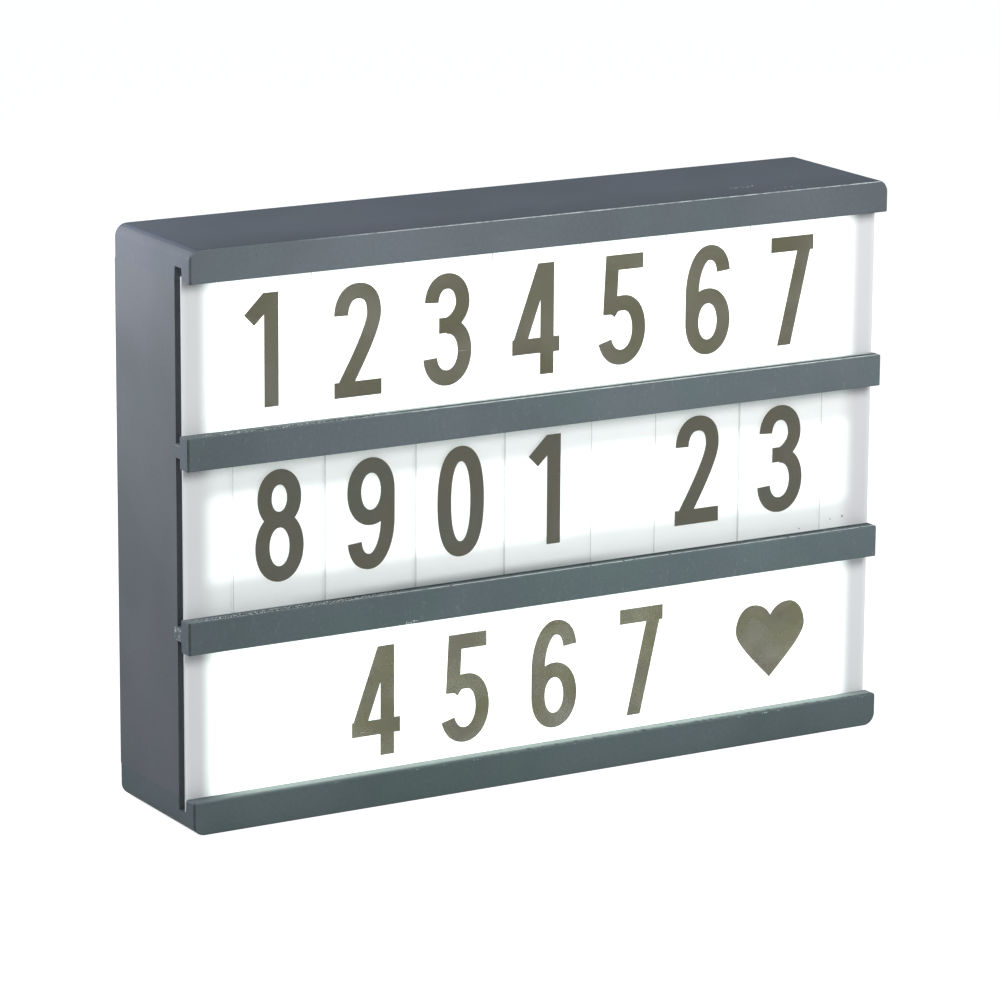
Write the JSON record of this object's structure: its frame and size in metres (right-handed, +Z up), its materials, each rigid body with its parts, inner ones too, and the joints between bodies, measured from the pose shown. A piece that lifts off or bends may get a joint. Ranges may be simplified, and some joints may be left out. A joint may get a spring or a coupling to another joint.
{
  "type": "cinema light box",
  "caption": "Free-standing lit message box: a grey wooden case with stacked windows where loose printed tiles slide in channels between rails, and a back panel with battery box and switch.",
  "frame": {"origin": "middle of the base, on the surface that the box stands on", "axes": "+X to the right seen from the front, +Y to the back, +Z up"},
  "size_m": [0.221, 0.044, 0.1594],
  "materials": {
    "case_paint": "matte slate-grey paint on wood fibre board, worn pale along the edges",
    "raw_wood": "unpainted wood",
    "panel_board": "matte grey paint on hardboard",
    "reflector": "matte white card",
    "diffuser": "milky translucent sheet, lit from behind",
    "tile_film": "clear film with dark print",
    "black_plastic": "moulded, fine texture",
    "cell_wrap": "bare wrapped cell",
    "steel": "nickel-plated steel",
    "circuit_board": "green lacquer",
    "switch_plastic": "moulded",
    "resistor": "lacquered",
    "lamp_strip": "white lacquer",
    "lamp": "lit lamp",
    "red_wire": "insulation",
    "black_wire": "insulation"
  },
  "bodies": {
    "case": {"top_board": "case_paint", "bottom_board": "case_paint", "left_board": "case_paint", "right_board": "case_paint", "upper_rail": "case_paint", "lower_rail": "case_paint", "upper_cross_bar": "raw_wood", "lower_cross_bar": "raw_wood", "corner_blocks": "raw_wood", "back_panel": "panel_board", "reflector_sheet": "reflector", "panel_screws": "steel", "diffuser_1": "diffuser", "diffuser_2": "diffuser", "diffuser_3": "diffuser", "battery_box": "black_plastic", "switch_plate": "black_plastic", "battery_1": "cell_wrap", "battery_2": "cell_wrap", "battery_3": "cell_wrap", "contact_plates": "steel", "contact_springs": "steel", "board_screws": "steel", "switch_frame": "steel", "socket_shell": "steel", "circuit_board": "circuit_board", "socket_tongue": "switch_plastic", "resistor": "resistor", "upper_lamp_strip": "lamp_strip", "lower_lamp_strip": "lamp_strip", "lamps": "lamp", "red_wires": "red_wire", "black_wires": "black_wire"},
    "tile_1_1": {"tile_1_1": "tile_film"},
    "tile_1_2": {"tile_1_2": "tile_film"},
    "tile_1_3": {"tile_1_3": "tile_film"},
    "tile_1_4": {"tile_1_4": "tile_film"},
    "tile_1_5": {"tile_1_5": "tile_film"},
    "tile_1_6": {"tile_1_6": "tile_film"},
    "tile_1_7": {"tile_1_7": "tile_film"},
    "tile_2_1": {"tile_2_1": "tile_film"},
    "tile_2_2": {"tile_2_2": "tile_film"},
    "tile_2_3": {"tile_2_3": "tile_film"},
    "tile_2_4": {"tile_2_4": "tile_film"},
    "tile_2_5": {"tile_2_5": "tile_film"},
    "tile_2_6": {"tile_2_6": "tile_film"},
    "tile_3_1": {"tile_3_1": "tile_film"},
    "tile_3_2": {"tile_3_2": "tile_film"},
    "tile_3_3": {"tile_3_3": "tile_film"},
    "tile_3_4": {"tile_3_4": "tile_film"},
    "tile_3_5": {"tile_3_5": "tile_film"},
    "battery_cover": {"battery_cover": "black_plastic"},
    "switch_slider": {"switch_slider": "switch_plastic"}
  },
  "joints": [
    {"name": "tile_1_3_slide", "type": "slide", "parent": "case", "child": "tile_1_3", "axis": [-1, 0, 0], "range_m": [0, 0.096]},
    {"name": "tile_1_2_slide", "type": "slide", "parent": "tile_1_3", "child": "tile_1_2", "axis": [-1, 0, 0], "range_m": [0, 0.028]},
    {"name": "tile_1_1_slide", "type": "slide", "parent": "tile_1_2", "child": "tile_1_1", "axis": [-1, 0, 0], "range_m": [0, 0.041]},
    {"name": "tile_1_4_slide", "type": "slide", "parent": "case", "child": "tile_1_4", "axis": [1, 0, 0], "range_m": [0, 0.127]},
    {"name": "tile_1_5_slide", "type": "slide", "parent": "tile_1_4", "child": "tile_1_5", "axis": [1, 0, 0], "range_m": [0, 0.028]},
    {"name": "tile_1_6_slide", "type": "slide", "parent": "tile_1_5", "child": "tile_1_6", "axis": [1, 0, 0], "range_m": [0, 0.028]},
    {"name": "tile_1_7_slide", "type": "slide", "parent": "tile_1_6", "child": "tile_1_7", "axis": [1, 0, 0], "range_m": [0, 0.044]},
    {"name": "tile_2_4_slide", "type": "slide", "parent": "case", "child": "tile_2_4", "axis": [-1, 0, 0], "range_m": [-0.02, 0.128]},
    {"name": "tile_2_3_slide", "type": "slide", "parent": "tile_2_4", "child": "tile_2_3", "axis": [-1, 0, 0], "range_m": [0, 0.028]},
    {"name": "tile_2_2_slide", "type": "slide", "parent": "tile_2_3", "child": "tile_2_2", "axis": [-1, 0, 0], "range_m": [0, 0.028]},
    {"name": "tile_2_1_slide", "type": "slide", "parent": "tile_2_2", "child": "tile_2_1", "axis": [-1, 0, 0], "range_m": [0, 0.045]},
    {"name": "tile_2_5_slide", "type": "slide", "parent": "case", "child": "tile_2_5", "axis": [1, 0, 0], "range_m": [0, 0.074]},
    {"name": "tile_2_6_slide", "type": "slide", "parent": "tile_2_5", "child": "tile_2_6", "axis": [1, 0, 0], "range_m": [0, 0.046]},
    {"name": "tile_3_4_slide", "type": "slide", "parent": "case", "child": "tile_3_4", "axis": [-1, 0, 0], "range_m": [-0.015, 0.158]},
    {"name": "tile_3_3_slide", "type": "slide", "parent": "tile_3_4", "child": "tile_3_3", "axis": [-1, 0, 0], "range_m": [0, 0.028]},
    {"name": "tile_3_2_slide", "type": "slide", "parent": "tile_3_3", "child": "tile_3_2", "axis": [-1, 0, 0], "range_m": [0, 0.028]},
    {"name": "tile_3_1_slide", "type": "slide", "parent": "tile_3_2", "child": "tile_3_1", "axis": [-1, 0, 0], "range_m": [0, 0.074]},
    {"name": "tile_3_5_slide", "type": "slide", "parent": "case", "child": "tile_3_5", "axis": [1, 0, 0], "range_m": [0, 0.049]},
    {"name": "battery_cover_slide", "type": "slide", "parent": "case", "child": "battery_cover", "axis": [0, 0, -1], "range_m": [0, 0.046]},
    {"name": "switch_slide", "type": "slide", "parent": "case", "child": "switch_slider", "axis": [-1, 0, 0], "range_m": [0, 0.003]}
  ]
}
